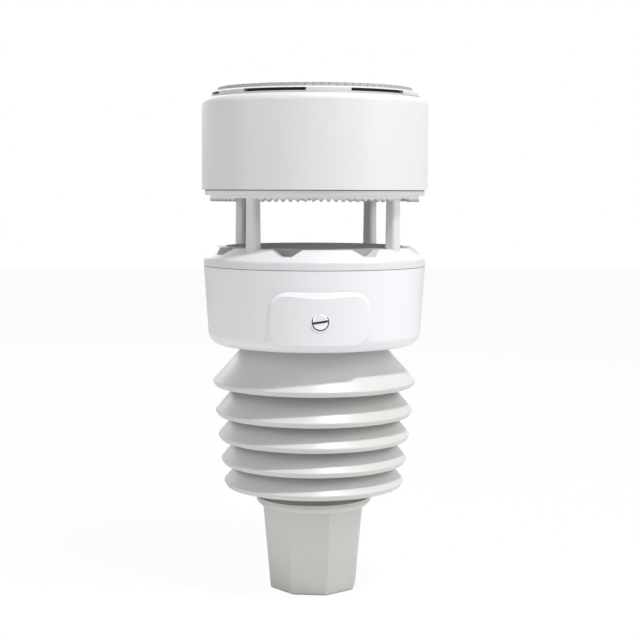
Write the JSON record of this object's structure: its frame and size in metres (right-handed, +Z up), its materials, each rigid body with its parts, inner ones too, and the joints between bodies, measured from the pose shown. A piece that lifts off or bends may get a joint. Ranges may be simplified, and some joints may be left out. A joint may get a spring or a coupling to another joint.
{
  "type": "tripod weather station",
  "caption": "Mast-top all-in-one weather sensor: rain plate and wind head on posts over a reflector dish, housing with service door, louvred air probe shield and mast socket.",
  "frame": {"origin": "centre of the mast socket's mouth, on its lower edge's plane", "axes": "+Z up the mast towards the rain plate; -Y is the front, where the service door is; +X to the right seen from the front"},
  "size_m": [0.1484, 0.1484, 0.3311],
  "materials": {
    "drum_white": "satin moulded plastic, cool white",
    "housing_white": "satin moulded plastic, cool white",
    "shield_white": "satin moulded plastic, warm white",
    "socket_grey": "fine matt moulded plastic, light grey",
    "post_grey": "satin moulded plastic, light grey",
    "dish_grey": "grainy moulded plastic, mid grey",
    "plate_grey": "ribbed moulded plastic, mid grey",
    "rubber_black": "matt black rubber",
    "seam_grey": "dark warm grey rubber",
    "steel": "stainless steel",
    "screw_bright": "bright plated steel",
    "brass": "plain brass",
    "ceramic": "fired ceramic, off-white",
    "board_green": "solder resist, green",
    "component_black": "moulded component, black",
    "terminal_green": "moulded terminal, green",
    "dial_white": "moulded dial, white",
    "button_black": "moulded button, black",
    "membrane_white": "sintered filter, white"
  },
  "bodies": {
    "station": {"address_switch": "component_black", "bezel_ring": "plate_grey", "board_components": "component_black", "board_screws": "steel", "board_standoffs": "brass", "case_screws": "steel", "clamp_inserts": "brass", "connector_core": "component_black", "connector_nut": "steel", "connector_pins": "brass", "connector_shell": "steel", "door_screw_insert": "brass", "drip_ring": "drum_white", "drum_base": "drum_white", "drum_seal": "seam_grey", "drum_shell": "drum_white", "housing_body": "housing_white", "housing_seal": "seam_grey", "humidity_probe": "component_black", "louver_1": "shield_white", "louver_2": "shield_white", "louver_3": "shield_white", "louver_4": "shield_white", "louver_5": "shield_white", "main_board": "board_green", "mast_socket": "socket_grey", "piezo_ceramic": "ceramic", "piezo_disc": "brass", "plate_carrier": "drum_white", "plate_gasket": "rubber_black", "plate_pads": "drum_white", "post_1": "post_grey", "post_2": "post_grey", "post_3": "post_grey", "post_4": "post_grey", "post_tie_rods": "steel", "pressure_vent": "rubber_black", "probe_filter_cap": "membrane_white", "probe_grommet": "rubber_black", "rain_plate": "plate_grey", "reflector_dish": "dish_grey", "reset_switch": "component_black", "rim_ring": "housing_white", "sensor_board": "board_green", "sensor_components": "component_black", "shield_nuts": "steel", "shield_rods": "steel", "shield_spacers": "shield_white", "terminal_block": "terminal_green", "transducer_gaskets": "rubber_black", "transducers": "component_black"},
    "service_door": {"service_door": "housing_white", "door_gasket": "rubber_black"},
    "door_screw": {"door_screw": "screw_bright", "door_screw_clip": "steel"},
    "address_dial": {"address_dial": "dial_white"},
    "reset_button": {"reset_button": "button_black"},
    "clamp_screw_lower": {"clamp_screw_lower": "steel"},
    "clamp_screw_upper": {"clamp_screw_upper": "steel"}
  },
  "joints": [
    {"name": "door_lift", "type": "slide", "parent": "station", "child": "service_door", "axis": [0, -1, 0], "range_m": [0, 0.035]},
    {"name": "door_screw_turn", "type": "hinge", "parent": "service_door", "child": "door_screw", "pos_m": [0, -0.072, 0.1842], "axis": [0, -1, 0], "continuous": true},
    {"name": "address_dial_turn", "type": "hinge", "parent": "station", "child": "address_dial", "pos_m": [-0.016, -0.052, 0.1806], "axis": [0, -1, 0], "continuous": true},
    {"name": "reset_button_press", "type": "slide", "parent": "station", "child": "reset_button", "axis": [0, 1, 0], "range_m": [0, 0.0006], "stiffness_N_per_m": 1000, "springref_m": -0.0005},
    {"name": "clamp_screw_lower_advance", "type": "slide", "parent": "station", "child": "clamp_screw_lower", "axis": [-0.1426, -0.9898, 0], "range_m": [0, 0.005]},
    {"name": "clamp_screw_upper_advance", "type": "slide", "parent": "station", "child": "clamp_screw_upper", "axis": [-0.1426, -0.9898, 0], "range_m": [0, 0.005]}
  ]
}
